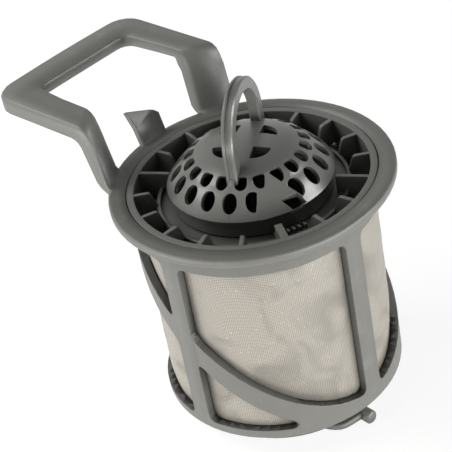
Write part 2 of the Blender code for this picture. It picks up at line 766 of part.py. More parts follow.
def panel_window():
    """Cutter of the slanted window beside the panel's border."""
    outline = [on_circle(turn, DOME_RADIUS - inset, 0.0)[:2] for inset, turn in PANEL_WINDOW]
    return turn_about_axis(prism("panel_window", outline, DOME_LIP_Z - 2.0, SHOULDER_Z + 3.8), PANEL_AZIMUTH)


def crown_windows():
    """Cutters of the four quarter-round windows between the arms of the crown's cross."""
    half = CROWN_BAR / 2.0
    items = []
    for quarter in range(4):
        outline = [(half, half)]
        for i in range(7):
            x, y, _ = on_circle(15.0 * i, CROWN_WINDOW_RADIUS, 0.0)
            outline.append((half + x, half + y))
        items.append(turn_about_axis(prism("crown_window", outline, SHOULDER_Z - 2.2, APEX_Z + 4.0), LOOP_AZIMUTH + 90.0 * quarter))
    return items


def loop_grip():
    """Finger loop on the dome: an arch with straight legs, a channel along its outside and spread feet."""
    half = LOOP_WIDTH / 2.0
    edge = LOOP_EDGE
    lip = LOOP_CHANNEL_WIDTH / 2.0

    def section(outer, inner):
        (ou, oz), (iu, iz) = outer, inner
        across = Vector((ou - iu, 0.0, oz - iz))
        thick = across.length
        out = across.normalized()
        base = Vector((iu, 0.0, iz))
        side = Vector((0.0, 1.0, 0.0))
        rows = (
            (edge, half),
            (thick - edge, half),
            (thick, half - edge),
            (thick, lip),
            (thick - LOOP_CHANNEL, lip - 0.25),
            (thick - LOOP_CHANNEL, 0.25 - lip),
            (thick, -lip),
            (thick, edge - half),
            (thick - edge, -half),
            (edge, -half),
            (0.0, edge - half),
            (0.0, half - edge),
        )
        return [tuple(base + out * d + side * y) for d, y in rows]

    spread = LOOP_RADIUS + LOOP_FOOT
    inner = LOOP_INNER_RADIUS
    base = SHOULDER_Z
    legs = (
        ((spread, base + 1.5), (inner, base + 3.5)),
        ((spread, base + 3.2), (inner, base + 5.0)),
        ((LOOP_RADIUS + LOOP_FOOT * 0.15, base + 5.4), (inner, base + 6.1)),
    )
    rings = [section(*leg) for leg in legs]
    for i in range(LOOP_STEPS + 1):
        angle = math.radians(180.0 * i / LOOP_STEPS)
        cos, sin = math.cos(angle), math.sin(angle)
        rings.append(
            section(
                (LOOP_RADIUS * cos, LOOP_CENTRE_Z + LOOP_RADIUS * sin),
                (LOOP_INNER_RADIUS * cos, LOOP_CENTRE_Z + LOOP_INNER_RADIUS * sin),
            )
        )
    for (outer_r, outer_z), (inner_r, inner_z) in reversed(legs):
        rings.append(section((-outer_r, outer_z), (-inner_r, inner_z)))
    return turn_about_axis(loft("loop_grip", rings), LOOP_AZIMUTH)


def build_strainer_dome():
    """Dome moulding: pierced wall with its blank panel, crown windows and the loop grip."""
    dome = dome_shell()
    holes = joined("dome_holes", dome_holes(LOWER_HOLES) + dome_holes(UPPER_HOLES))
    combine(holes, panel_wedge(), "DIFFERENCE")
    combine(dome, holes, "DIFFERENCE")
    combine(dome, joined("windows", [*crown_windows(), panel_window()]), "DIFFERENCE")
    combine(dome, loop_grip(), "UNION")
    tidy(dome)
    paint(dome, PLASTIC)
    return dome


def main():
    """Build the four pieces and hang the lift-out ones on the slide's axis."""
    clear_scene()
    build_filter_frame()
    build_mesh_sleeve()
    slide = bpy.data.objects.new("strainer_slide", None)
    bpy.context.scene.collection.objects.link(slide)
    for piece in (build_coarse_strainer(), build_strainer_dome()):
        piece.parent = slide


main()
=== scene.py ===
"""Dishwasher filter: a mesh-lined cage with a handle, and a lift-out strainer with a perforated dome.

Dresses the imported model. Lengths in the classes below are in millimetres, in the frame of the model: the body
stands on the Z axis with its spigot at z = 0, and the carrying handle points along -X. MM turns them into metres.
"""

from __future__ import annotations

import logging
import math
from dataclasses import dataclass
from enum import Enum

import bmesh
import bpy
from mathutils import Matrix, Vector

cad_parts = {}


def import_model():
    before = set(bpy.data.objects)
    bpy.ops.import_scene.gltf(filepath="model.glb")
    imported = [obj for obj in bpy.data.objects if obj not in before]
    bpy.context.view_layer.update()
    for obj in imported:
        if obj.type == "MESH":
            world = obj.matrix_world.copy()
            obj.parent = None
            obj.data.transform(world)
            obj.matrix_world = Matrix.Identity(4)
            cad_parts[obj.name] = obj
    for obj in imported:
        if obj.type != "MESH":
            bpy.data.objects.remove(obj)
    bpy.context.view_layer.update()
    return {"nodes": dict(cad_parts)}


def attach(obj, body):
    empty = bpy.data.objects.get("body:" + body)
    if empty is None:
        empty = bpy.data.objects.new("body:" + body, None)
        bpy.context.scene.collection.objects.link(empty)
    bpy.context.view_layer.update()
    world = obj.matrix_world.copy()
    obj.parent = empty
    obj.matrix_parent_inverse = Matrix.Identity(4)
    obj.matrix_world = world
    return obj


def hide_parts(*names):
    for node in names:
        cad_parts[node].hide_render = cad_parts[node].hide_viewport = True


LOG = logging.getLogger("dishwasher_filter")
MM = 0.001
MERGE_DISTANCE = 0.002 * MM
SHARP_ANGLE = 35.0
Point = tuple[float, float, float]
Flat = tuple[float, float]
Colour = tuple[float, float, float]


class Body(Enum):
    """Bodies of the model."""

    FRAME = "frame"
    STRAINER = "strainer"


class Slot(Enum):
    """Material slots of the record."""

    FRAME = "frame_plastic"
    MESH = "filter_mesh"
    STRAINER = "strainer_plastic"
    DOME = "dome_plastic"


class Cut(Enum):
    """Ways to combine two closed shapes."""

    JOIN = "UNION"
    TAKE = "DIFFERENCE"


@dataclass(frozen=True)
class PlasticFinish:
    """Satin moulded plastic.

    Attributes:
        name: Name of the material.
        colour: Base colour, linear.
        lift: How much lighter the clouded areas are.
        roughness: Mean roughness.
        grain: Strength of the fine moulded grain.
        edge: Radius of the softened edges, in metres.
        crevice_shade: How dark the painted shade in the crevices is.
        crevice: How far apart the walls of a crevice may be for it to get painted shade, in metres.
        crevice_shade_colour: Colour of the painted shade in the crevices, linear.
    """

    name: str
    colour: Colour
    lift: float
    roughness: float
    grain: float
    edge: float
    crevice_shade: float
    crevice: float = 9.0 * MM
    crevice_shade_colour: Colour = (0.012, 0.012, 0.013)


@dataclass(frozen=True)
class WeaveFinish:
    """Fine woven filter mesh.

    Attributes:
        name: Name of the material.
        thread: Colour of the threads, linear.
        shade: Colour between the threads, also used for the stains and for the painted shade along the ribs, linear.
        inside: Colour of the side that faces the basket, a painted shade, linear.
        pitch: Distance between threads, in metres.
        cover: How much of the wall is closed between the threads.
        roughness: Roughness of the whole surface.
        painted_glint: Colour of the painted glints on the brightest specks, linear.
        border: Width of the painted shade along the ribs, in metres.
    """

    name: str
    thread: Colour
    shade: Colour
    inside: Colour
    pitch: float
    cover: float
    roughness: float
    painted_glint: Colour = (0.93, 0.92, 0.88)
    border: float = 3.0 * MM


FRAME_GREY = PlasticFinish(
    name="frame_grey",
    colour=(0.102, 0.101, 0.091),
    lift=0.30,
    roughness=0.47,
    grain=0.25,
    edge=0.45 * MM,
    crevice_shade=1.0,
)
DOME_GREY = PlasticFinish(
    name="dome_grey",
    colour=(0.095, 0.094, 0.086),
    lift=0.30,
    roughness=0.30,
    grain=0.2,
    edge=0.25 * MM,
    crevice_shade=0.7,
)
FILTER_WEAVE = WeaveFinish(
    name="filter_weave",
    thread=(0.305, 0.282, 0.240),
    shade=(0.072, 0.066, 0.056),
    inside=(0.035, 0.033, 0.028),
    pitch=0.55 * MM,
    cover=0.9,
    roughness=0.5,
)


def on_circle(azimuth: float, radius: float, z: float) -> Point:
    """Point at an azimuth in degrees, a radius and a height."""
    angle = math.radians(azimuth)
    return (radius * math.cos(angle), radius * math.sin(angle), z)


def placed(name: str, points: list[Point], faces: list[tuple[int, ...]]) -> bpy.types.Object:
    """Makes an object at the origin.

    Args:
        name: Name of the object.
        points: Corners in millimetres.
        faces: Corner numbers of each face.

    Returns:
        The object, with its faces turned outward.
    """
    mesh = bpy.data.meshes.new(name)
    mesh.from_pydata([(x * MM, y * MM, z * MM) for x, y, z in points], [], faces)
    work = bmesh.new()
    work.from_mesh(mesh)
    bmesh.ops.recalc_face_normals(work, faces=work.faces)
    work.to_mesh(mesh)
    work.free()
    item = bpy.data.objects.new(name, mesh)
    bpy.context.scene.collection.objects.link(item)
    return item


def loft(name: str, rings: list[list[Point]], closed: bool = False) -> bpy.types.Object:
    """Joins outlines of equal size one after the other.

    Args:
        name: Name of the object.
        rings: Outlines in order.
        closed: Whether the last outline joins the first; otherwise both ends are closed by a face.

    Returns:
        The closed shape.
    """
    size = len(rings[0])
    count = len(rings)
    faces: list[tuple[int, ...]] = []
    for ring in range(count if closed else count - 1):
        a, b = ring * size, (ring + 1) % count * size
        faces += [(a + j, a + (j + 1) % size, b + (j + 1) % size, b + j) for j in range(size)]
    if not closed:
        faces += [tuple(range(size)), tuple(range((count - 1) * size, count * size))]
    return placed(name, [p for ring in rings for p in ring], faces)


def turned(name: str, profile: list[Flat], steps: int) -> bpy.types.Object:
    """Turns a closed profile of (radius, z) points about the Z axis.

    Args:
        name: Name of the object.
        profile: Outline on one side of the axis.
        steps: Number of sides of the round.

    Returns:
        The closed shape.
    """
    rings = [[on_circle(360.0 * i / steps, r, z) for r, z in profile] for i in range(steps)]
    return loft(name, rings, closed=True)


def prism(name: str, outline: list[Flat], low: float, high: float) -> bpy.types.Object:
    """Carries a flat outline of (x, y) points from one height to another."""
    return loft(name, [[(x, y, z) for x, y in outline] for z in (low, high)])


def rotated(item: bpy.types.Object, azimuth: float) -> bpy.types.Object:
    """Turns an object's mesh about the Z axis by an azimuth in degrees."""
    item.data.transform(Matrix.Rotation(math.radians(azimuth), 4, "Z"))
    return item


def joined(name: str, items: list[bpy.types.Object]) -> bpy.types.Object:
    """Gathers the meshes of several objects in one and removes those objects.

    Args:
        name: Name of the new object.
        items: Objects to gather.

    Returns:
        The new object.
    """
    mesh = bpy.data.meshes.new(name)
    work = bmesh.new()
    for item in items:
        work.from_mesh(item.data)
        bpy.data.objects.remove(item, do_unlink=True)
    work.to_mesh(mesh)
    work.free()
    whole = bpy.data.objects.new(name, mesh)
    bpy.context.scene.collection.objects.link(whole)
    return whole


def settle(item: bpy.types.Object) -> bpy.types.Object:
    """Turns what the object's modifiers give into its own mesh and takes the modifiers off.

    Args:
        item: Object with live modifiers.

    Returns:
        The same object.
    """
    bpy.context.view_layer.update()
    mesh = bpy.data.meshes.new_from_object(item.evaluated_get(bpy.context.evaluated_depsgraph_get()))
    item.modifiers.clear()
    item.data = mesh
    return item


def combine(base: bpy.types.Object, tool: bpy.types.Object, cut: Cut) -> None:
    """Joins a shape to another or takes it away, and removes the shape that was used.

    Args:
        base: Shape that is kept.
        tool: Shape that is used up.
        cut: Which of the two is done.
    """
    step = base.modifiers.new("combine", "BOOLEAN")
    step.operation = cut.value
    step.solver = "EXACT"
    step.use_self = True
    step.object = tool
    settle(base)
    bpy.data.objects.remove(tool, do_unlink=True)


def smoothed(item: bpy.types.Object, sharp: float) -> bpy.types.Object:
    """Merges loose corners and shades round faces smooth.

    Args:
        item: Object to finish.
        sharp: Angle in degrees past which an edge stays sharp.

    Returns:
        The same object.
    """
    work = bmesh.new()
    work.from_mesh(item.data)
    bmesh.ops.remove_doubles(work, verts=work.verts, dist=MERGE_DISTANCE)
    bmesh.ops.dissolve_degenerate(work, edges=work.edges, dist=MERGE_DISTANCE)
    work.to_mesh(item.data)
    work.free()
    item.data.shade_smooth()
    item.data.set_sharp_from_angle(angle=math.radians(sharp))
    return item


class NodeKit:
    """Short ways to build node trees."""

    def __init__(self, tree: bpy.types.NodeTree) -> None:
        """Keeps the tree that nodes are added to."""
        self.tree = tree

    def node(self, kind: str, **values: object) -> bpy.types.Node:
        """Adds a node and sets its properties and inputs.

        Args:
            kind: Blender's identifier of the node.
            values: Properties by name, or inputs by name with spaces written as underscores.

        Returns:
            The new node.
        """
        made = self.tree.nodes.new(kind)
        for key, value in values.items():
            if hasattr(made, key):
                setattr(made, key, value)
            else:
                made.inputs[key.replace("_", " ")].default_value = value
        return made

    def link(self, source: bpy.types.NodeSocket, target: bpy.types.NodeSocket) -> None:
        """Connects two sockets."""
        self.tree.links.new(source, target)

    def math(self, operation: str, *operands: object) -> bpy.types.NodeSocket:
        """Adds a Math node over sockets or numbers.

        Args:
            operation: Name of the operation.
            operands: Its operands in order, each a socket or a number.

        Returns:
            The node's output.
        """
        made = self.tree.nodes.new("ShaderNodeMath")
        made.operation = operation
        for index, operand in enumerate(operands):
            if isinstance(operand, bpy.types.NodeSocket):
                self.link(operand, made.inputs[index])
            else:
                made.inputs[index].default_value = operand
        return made.outputs[0]

    def blend(self, share: bpy.types.NodeSocket, first: object, second: object) -> bpy.types.NodeSocket:
        """Adds a colour mix.

        Args:
            share: How much of the second colour shows.
            first: First colour, a socket or three numbers.
            second: Second colour, a socket or three numbers.

        Returns:
            The mixed colour.
        """
        made = self.tree.nodes.new("ShaderNodeMix")
        made.data_type = "RGBA"
        self.link(share, made.inputs[0])
        ends = [socket for socket in made.inputs if socket.type == "RGBA"]
        for socket, value in zip(ends, (first, second)):
            if isinstance(value, bpy.types.NodeSocket):
                self.link(value, socket)
            else:
                socket.default_value = (*value, 1.0)
        return [socket for socket in made.outputs if socket.type == "RGBA"][0]


class RingOfCopies:
    """Geometry Nodes tree that repeats a shape around the Z axis."""

    def __init__(self) -> None:
        """Builds the tree once, with a named input for each setting."""
        self.tree = bpy.data.node_groups.new("ring_of_copies", "GeometryNodeTree")
        face = self.tree.interface
        for key, kind in (
            ("Shape", "NodeSocketGeometry"),
            ("Count", "NodeSocketInt"),
            ("First", "NodeSocketFloat"),
            ("Step", "NodeSocketFloat"),
            ("Material", "NodeSocketMaterial"),
        ):
            face.new_socket(key, in_out="INPUT", socket_type=kind)
        face.new_socket("Ring", in_out="OUTPUT", socket_type="NodeSocketGeometry")
        kit = NodeKit(self.tree)
        into = kit.node("NodeGroupInput")
        out = kit.node("NodeGroupOutput")
        points = kit.node("GeometryNodePoints")
        index = kit.node("GeometryNodeInputIndex")
        turn = kit.node("ShaderNodeCombineXYZ")
        place = kit.node("GeometryNodeInstanceOnPoints")
        real = kit.node("GeometryNodeRealizeInstances")
        paint = kit.node("GeometryNodeSetMaterial")
        kit.link(into.outputs["Count"], points.inputs["Count"])
        azimuth = kit.math("MULTIPLY_ADD", index.outputs[0], into.outputs["Step"], into.outputs["First"])
        kit.link(kit.math("RADIANS", azimuth), turn.inputs["Z"])
        kit.link(points.outputs[0], place.inputs["Points"])
        kit.link(into.outputs["Shape"], place.inputs["Instance"])
        kit.link(turn.outputs[0], place.inputs["Rotation"])
        kit.link(place.outputs[0], real.inputs[0])
        kit.link(real.outputs[0], paint.inputs["Geometry"])
        kit.link(into.outputs["Material"], paint.inputs["Material"])
        kit.link(paint.outputs[0], out.inputs[0])

    def around(
        self, item: bpy.types.Object, count: int, first: float, step: float, material: bpy.types.Material
    ) -> bpy.types.Object:
        """Repeats an object around the axis.

        Args:
            item: Shape at azimuth zero; it becomes the ring.
            count: Number of copies.
            first: Azimuth of the first copy in degrees.
            step: Azimuth from one copy to the next in degrees.
            material: Material of the copies.

        Returns:
            The same object with its copies as plain mesh.
        """
        values = {"Count": count, "First": float(first), "Step": float(step), "Material": material}
        modifier = item.modifiers.new("ring", "NODES")
        modifier.node_group = self.tree
        for socket in self.tree.interface.items_tree:
            if socket.in_out == "INPUT" and socket.name in values:
                modifier[socket.identifier] = values[socket.name]
        return settle(item)


class SharedGroups:
    """Shader node groups that more than one material uses."""

    def __init__(self) -> None:
        """Builds every group once."""
        self.grain = self._moulded_grain()

    @staticmethod
    def _moulded_grain() -> bpy.types.NodeTree:
        """Builds the fine pitted grain, soft clouding and rubbed patches of moulded plastic.

        Returns:
            The group, which reads Object coordinates.
        """
        tree = bpy.data.node_groups.new("moulded_grain", "ShaderNodeTree")
        scales = (("Grain Scale", 2600.0), ("Cloud Scale", 38.0), ("Rub Scale", 150.0))
        for key, value in scales:
            socket = tree.interface.new_socket(key, in_out="INPUT", socket_type="NodeSocketFloat")
            socket.default_value = value
        for key in ("Height", "Cloud", "Rub"):
            tree.interface.new_socket(key, in_out="OUTPUT", socket_type="NodeSocketFloat")
        kit = NodeKit(tree)
        into = kit.node("NodeGroupInput")
        out = kit.node("NodeGroupOutput")
        place = kit.node("ShaderNodeTexCoord")
        grain = kit.node("ShaderNodeTexNoise", Detail=3.0, Roughness=0.55)
        cloud = kit.node("ShaderNodeTexNoise", Detail=4.0, Roughness=0.6)
        rub = kit.node("ShaderNodeTexNoise", Detail=5.0, Roughness=0.7)
        for texture, (key, _) in zip((grain, cloud, rub), scales):
            kit.link(place.outputs["Object"], texture.inputs["Vector"])
            kit.link(into.outputs[key], texture.inputs["Scale"])
        ramp = kit.node("ShaderNodeMapRange", From_Min=0.56, From_Max=0.74)
        kit.link(rub.outputs["Fac"], ramp.inputs["Value"])
        kit.link(grain.outputs["Fac"], out.inputs["Height"])
        kit.link(cloud.outputs["Fac"], out.inputs["Cloud"])
        kit.link(ramp.outputs["Result"], out.inputs["Rub"])
        return tree


class Finishes:
    """Materials of the filter."""

    def __init__(self) -> None:
        """Builds the shared groups first."""
        self.groups = SharedGroups()

    @staticmethod
    def _blank(name: str) -> tuple[bpy.types.Material, NodeKit, bpy.types.Node]:
        """Starts a material.

        Args:
            name: Name of the material.

        Returns:
            The material, its node kit and its main shader.
        """
        material = bpy.data.materials.new(name)
        material.use_nodes = True
        return material, NodeKit(material.node_tree), material.node_tree.nodes["Principled BSDF"]

    def plastic(self, finish: PlasticFinish) -> bpy.types.Material:
        """Makes a satin plastic from its finish.

        Args:
            finish: Colours and sizes of the surface.

        Returns:
            The material.
        """
        material, kit, shader = self._blank(finish.name)
        grain = kit.node("ShaderNodeGroup", node_tree=self.groups.grain)
        light = tuple(min(1.0, c * (1.0 + finish.lift)) for c in finish.colour)
        body = kit.blend(grain.outputs["Cloud"], finish.colour, light)
        worn = kit.math("MULTIPLY", grain.outputs["Rub"], 0.3)
        body = kit.blend(worn, body, tuple(1.5 * c for c in light))
        # Painted shade: crevices, pockets and gaps under parts are darkened towards a near-black colour by ambient
        # occlusion.
        corner = kit.node("ShaderNodeAmbientOcclusion", samples=6, Distance=finish.crevice)
        crevice = kit.math("MULTIPLY", kit.math("SUBTRACT", 1.0, corner.outputs["AO"]), finish.crevice_shade)
        kit.link(kit.blend(crevice, body, finish.crevice_shade_colour), shader.inputs["Base Color"])
        rough = kit.math("MULTIPLY_ADD", grain.outputs["Rub"], -0.07, finish.roughness)
        kit.link(rough, shader.inputs["Roughness"])
        soft = kit.node("ShaderNodeBevel", samples=6, Radius=finish.edge)
        bump = kit.node("ShaderNodeBump", Strength=finish.grain, Distance=0.08 * MM)
        kit.link(grain.outputs["Height"], bump.inputs["Height"])
        kit.link(soft.outputs["Normal"], bump.inputs["Normal"])
        kit.link(bump.outputs["Normal"], shader.inputs["Normal"])
        return material

    def weave(self, finish: WeaveFinish) -> bpy.types.Material:
        """Makes the woven mesh, whose pattern follows the sleeve's UV map in metres.

        Args:
            finish: Colours and sizes of the weave.

        Returns:
            The material.
        """
        material, kit, shader = self._blank(finish.name)
        uv = kit.node("ShaderNodeUVMap", uv_map="wall")
        split = kit.node("ShaderNodeSeparateXYZ")
        kit.link(uv.outputs["UV"], split.inputs[0])
        turn = math.pi / finish.pitch
        warp = kit.math("SINE", kit.math("MULTIPLY", split.outputs["X"], turn))
        weft = kit.math("SINE", kit.math("MULTIPLY", split.outputs["Y"], turn))
        threads = kit.math("MAXIMUM", kit.math("ABSOLUTE", warp), kit.math("ABSOLUTE", weft))
        mask = kit.node("ShaderNodeMapRange", From_Min=0.45, From_Max=0.8)
        kit.link(threads, mask.inputs["Value"])
        tone = kit.blend(mask.outputs["Result"], finish.shade, finish.thread)
        place = kit.node("ShaderNodeTexCoord")
        # Painted glints: random bright specks that stand in for the threads' sparkling highlights.
        painted_glint_noise = kit.node("ShaderNodeTexNoise", Scale=1500.0, Detail=1.0)
        kit.link(place.outputs["Object"], painted_glint_noise.inputs["Vector"])
        painted_glint_mask = kit.node("ShaderNodeMapRange", From_Min=0.70, From_Max=0.80, To_Max=0.4)
        kit.link(painted_glint_noise.outputs["Fac"], painted_glint_mask.inputs["Value"])
        tone = kit.blend(painted_glint_mask.outputs["Result"], tone, finish.painted_glint)
        behind = kit.node("ShaderNodeNewGeometry")
        patches = kit.node("ShaderNodeTexNoise", Scale=55.0, Detail=3.0, Distortion=1.2)
        kit.link(place.outputs["Object"], patches.inputs["Vector"])
        stain = kit.node("ShaderNodeMapRange", From_Min=0.45, From_Max=0.75, To_Max=0.5)
        kit.link(patches.outputs["Fac"], stain.inputs["Value"])
        tone = kit.blend(stain.outputs["Result"], tone, finish.shade)
        # Painted shade: the mesh darkens towards the shade colour where ribs and rings stand close, found by ambient
        # occlusion.
        corner = kit.node("ShaderNodeAmbientOcclusion", samples=6, Distance=finish.border)
        border = kit.math("MULTIPLY", kit.math("SUBTRACT", 1.0, corner.outputs["AO"]), 0.9)
        tone = kit.blend(border, tone, finish.shade)
        # Painted shade: the side that faces the basket takes the dark inside colour, and is kept opaque below.
        kit.link(kit.blend(behind.outputs["Backfacing"], tone, finish.inside), shader.inputs["Base Color"])
        cover = kit.math("MULTIPLY_ADD", mask.outputs["Result"], 1.0 - finish.cover, finish.cover)
        kit.link(kit.math("MAXIMUM", cover, behind.outputs["Backfacing"]), shader.inputs["Alpha"])
        shader.inputs["Roughness"].default_value = finish.roughness
        bump = kit.node("ShaderNodeBump", Strength=0.5, Distance=0.1 * MM)
        kit.link(mask.outputs["Result"], bump.inputs["Height"])
        kit.link(bump.outputs["Normal"], shader.inputs["Normal"])
        return material


@dataclass
class Piece:
    """What every visible piece shares: its body, its slot and the node that it stands for."""

    name: str
    node: str
    body: Body
    slot: Slot

    def dress(self, item: bpy.types.Object, material: bpy.types.Material) -> bpy.types.Object:
        """Puts the finished object on its body with its material.

        Args:
            item: Finished object.
            material: Its material.

        Returns:
            The same object.
        """
        item.name = self.name
        item.data.name = self.name
        item.data.materials.clear()
        item.data.materials.append(material)
        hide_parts(self.node)
        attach(item, self.body.value)
        LOG.info("%s: %d faces", item.name, len(item.data.polygons))
        return item


@dataclass
class CageMoulding(Piece):
    """Rim, cage, spigot, handle and thumb tab, taken from the model and given its fine moulded line."""

    top: float = 100.9
    grip_edge: float = -70.1
    grip_half: float = 15.6
    line_offset: float = 1.3
    line_half: float = 0.45
    line_high: float = 0.22
    line_sunk: float = 0.1

    def build(self, source: bpy.types.Object, material: bpy.types.Material) -> bpy.types.Object:
        """Copies the node, and adds the raised line along the grip.

        Args:
            source: The node to copy.
            material: Its plastic.

        Returns:
            The cage moulding.
        """
        item = bpy.data.objects.new(self.name, source.data.copy())
        bpy.context.scene.collection.objects.link(item)
        return self.dress(smoothed(joined(self.name, [item, self._grip_line()]), SHARP_ANGLE), material)

    def _grip_line(self) -> bpy.types.Object:
        """Makes the thin raised line along the inner edge of the grip's top.

        Returns:
            The line, sunk a little into the grip.
        """
        middle, foot = self.grip_edge - self.line_offset, self.top - self.line_sunk
        crest = (middle, self.top + self.line_high)
        section = ((middle - self.line_half, foot), crest, (middle + self.line_half, foot))
        sides = (-self.grip_half, self.grip_half)
        return loft("grip_line", [[(x, y, z) for x, z in section] for y in sides])


@dataclass
class FinnedInsert(Piece):
    """Ring in the rim, skirt, fins, hub and slotted basket.

    Fins are counted from fin_first. plain_runs holds the first fin and the number of fins of each run of plain ones.
    """

    top: float = 79.9
    ring_outer: float = 38.4
    ring_low: float = 78.6
    skirt_outer: float = 37.1
    skirt_inner: float = 36.1
    skirt_low: float = 71.3
    hub: float = 30.0
    wall: float = 1.3
    hub_top: float = 75.0
    seat_top: float = 73.7
    seat_inner: float = 21.5
    basket_low: float = 38.0
    floor: float = 1.6
    centre_hole: float = 5.5
    slots: int = 16
    slot_first: float = 11.25
    slot_half: float = 2.5
    slot_reach: float = 11.0
    slot_middle: float = 55.0
    floor_holes: int = 6
    floor_hole_first: float = 3.75
    floor_hole: float = 4.6
    fin_first: float = -52.0
    fin_step: float = 20.0
    fin_width: float = 1.2
    plain_runs: tuple[tuple[int, int], ...] = ((0, 1), (2, 2), (5, 8), (14, 4))
    long_fins: tuple[int, ...] = (4, 13)
    long_fin_end: float = 26.1
    thick_fin: int = 1
    thick_fin_end: float = 28.9
    thick_fin_width: float = 2.2
    teeth: int = 6
    tooth_first: float = -33.5
    tooth_step: float = 3.6
    tooth_root: float = 25.4
    tooth_width: float = 0.7

    def build(self, rings: RingOfCopies, material: bpy.types.Material) -> bpy.types.Object:
        """Builds the insert from turned parts and rings of fins, slots and holes.

        Args:
            rings: Tree that repeats the fins and openings.
            material: Its plastic.

        Returns:
            The insert.
        """
        ring = turned("ring", self._ring_profile(), 144)
        basket = turned("basket", self._basket_profile(), 96)
        slots = rings.around(self._slot(), self.slots, self.slot_first, 360.0 / self.slots, material)
        floor_step = 360.0 / self.floor_holes
        holes = rings.around(self._floor_hole(), self.floor_holes, self.floor_hole_first, floor_step, material)
        combine(basket, joined("openings", [slots, holes]), Cut.TAKE)
        combine(ring, basket, Cut.JOIN)
        plain = self._fin_profile(self.hub - self.wall / 2.0, self.hub_top - 0.3)
        fins = []
        for start, count in self.plain_runs:
            fin = self._fin(plain, self.fin_width)
            fins.append(rings.around(fin, count, self._fin_azimuth(start), self.fin_step, material))
        tall = self._fin_profile(self.long_fin_end, self.top)
        for index in self.long_fins:
            fins.append(rotated(self._fin(tall, self.fin_width), self._fin_azimuth(index)))
        thick = self._fin_profile(self.thick_fin_end, self.top)
        fins.append(rotated(self._fin(thick, self.thick_fin_width), self._fin_azimuth(self.thick_fin)))
        fins.append(rings.around(self._comb_tooth(), self.teeth, self.tooth_first, self.tooth_step, material))
        combine(ring, joined("fins", fins), Cut.JOIN)
        return self.dress(smoothed(ring, SHARP_ANGLE), material)

    def _fin_azimuth(self, index: int) -> float:
        """Azimuth of a fin, counted from the first."""
        return self.fin_first + self.fin_step * index

    def _ring_profile(self) -> list[Flat]:
        """Lists the outline of the ring with its rounded rim and of the skirt under it.

        Returns:
            Points of radius and height.
        """
        top, outer = self.top, self.ring_outer
        return [
            (self.skirt_inner + 0.35, top),
            (outer - 0.35, top),
            (outer - 0.1, top - 0.1),
            (outer, top - 0.35),
            (outer, self.ring_low),
            (self.skirt_outer, self.ring_low),
            (self.skirt_outer, self.skirt_low),
            (self.skirt_inner, self.skirt_low),
            (self.skirt_inner, top - 0.35),
            (self.skirt_inner + 0.1, top - 0.1),
        ]

    def _basket_profile(self) -> list[Flat]:
        """Lists the outline of the hub, the dome's seat, the basket's wall and its floor.

        Returns:
            Points of radius and height.
        """
        inner = self.hub - self.wall
        low = self.basket_low
        return [
            (inner, self.hub_top),
            (self.hub - 0.35, self.hub_top),
            (self.hub, self.hub_top - 0.35),
            (self.hub, low + 1.0),
            (self.hub - 0.3, low + 0.3),
            (self.hub - 1.0, low),
            (self.centre_hole, low),
            (self.centre_hole, low + self.floor),
            (inner, low + self.floor),
            (inner, self.seat_top - 3.4),
            (self.seat_inner, self.seat_top - 1.4),
            (self.seat_inner, self.seat_top),
            (inner, self.seat_top),
        ]

    def _fin_profile(self, inner: float, inner_z: float) -> list[Flat]:
        """Lists the outline of a fin from its root on the skirt to its end on the hub.

        Args:
            inner: Radius of its inner end.
            inner_z: Height of its inner end.

        Returns:
            Points of radius and height.
        """
        root = (self.skirt_outer + self.skirt_inner) / 2.0
        foot = self.skirt_low + 0.3
        shoulder = self.hub + 1.2
        points = [(root, foot), (root, self.top - 0.4), (self.skirt_inner - 0.3, self.top)]
        if inner_z >= self.top - 1.0:
            points += [(inner + 0.3, self.top), (inner, self.top - 0.3)]
        else:
            points += [(shoulder + 0.8, self.top), (shoulder + 0.25, self.top - 0.1)]
            points += [(shoulder, self.top - 0.35), (shoulder - 0.55, self.top - 1.5), (inner, inner_z)]
        return points + [(inner, self.seat_top - 0.7), (self.hub - self.wall / 2.0, foot)]

    @staticmethod
    def _fin(profile: list[Flat], width: float) -> bpy.types.Object:
        """Upright fin of one width at azimuth zero."""
        return loft("fin", [[(r, y, z) for r, z in profile] for y in (-width / 2.0, width / 2.0)])

    def _comb_tooth(self) -> bpy.types.Object:
        """Makes one slanted tooth of the comb between the hub and the dome's collar.

        Returns:
            The tooth at azimuth zero.
        """
        base, top, outer, root = self.seat_top - 0.3, self.hub_top, self.hub - 0.5, self.tooth_root
        outline = [(root, base), (outer, base), (outer, top + 1.6), (outer - 1.5, top + 1.5), (root, top - 0.2)]
        return self._fin(outline, self.tooth_width)

    def _slot(self) -> bpy.types.Object:
        """Makes the cutter of one upright slot with round ends.

        Returns:
            The cutter at azimuth zero.
        """
        half, middle, reach = self.slot_half, self.slot_middle, self.slot_reach
        outline = []
        for side in (1.0, -1.0):
            for angle in (15.0, 52.5, 90.0, 127.5, 165.0):
                y, z = half * math.cos(math.radians(angle)), half * math.sin(math.radians(angle))
                outline.append((y * side, middle + (reach - half + z) * side))
        depths = (self.hub - 3.0, self.hub + 1.0)
        return loft("slot", [[(r, y, z) for y, z in outline] for r in depths])

    def _floor_hole(self) -> bpy.types.Object:
        """Makes the cutter of one round hole in the basket's floor.

        Returns:
            The cutter at azimuth zero.
        """
        middle = (self.centre_hole + self.hub - self.wall) / 2.0
        circle = [on_circle(18.0 * i, self.floor_hole, 0.0)[:2] for i in range(20)]
        outline = [(middle + x, y) for x, y in circle]
        return prism("floor_hole", outline, self.basket_low - 1.0, self.basket_low + 3.0)


@dataclass(frozen=True)
class HoleRow:
    """One row of holes in the dome.

    Attributes:
        first: Azimuth of the first hole from the loop, in degrees.
        radius: Distance of the row from the axis.
        z: Height of the row.
        slope: Steepness of the dome there, in degrees.
        length: Length of a hole along the slope.
        width: Width of a hole.
        square: How square the end toward the apex is: 1 is round, less is flatter.
    """

    first: float
    radius: float
    z: float
    slope: float
    length: float
    width: float
    square: float


